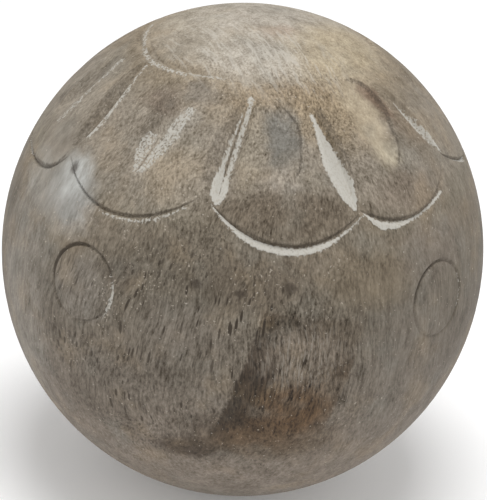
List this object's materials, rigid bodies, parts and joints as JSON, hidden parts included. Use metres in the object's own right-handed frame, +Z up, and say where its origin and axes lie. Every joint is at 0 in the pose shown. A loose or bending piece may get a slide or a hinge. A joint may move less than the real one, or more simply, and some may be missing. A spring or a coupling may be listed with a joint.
{
  "type": "decorative sphere",
  "caption": "Solid turned wooden ball with an open flower carved into its upper half and plain rings round its middle, lime-washed grey; stands on a small flat.",
  "frame": {"origin": "middle of the small flat that the ball stands on", "axes": "+Z up along the turning axis through the middle of the carved flower; -Y towards the side shown as the front"},
  "size_m": [0.1, 0.1, 0.1022],
  "materials": {
    "washed_mango_wood": "satin, grey lime wash rubbed into the grain and the cuts"
  },
  "bodies": {
    "root": {"ball": "washed_mango_wood"}
  },
  "joints": []
}
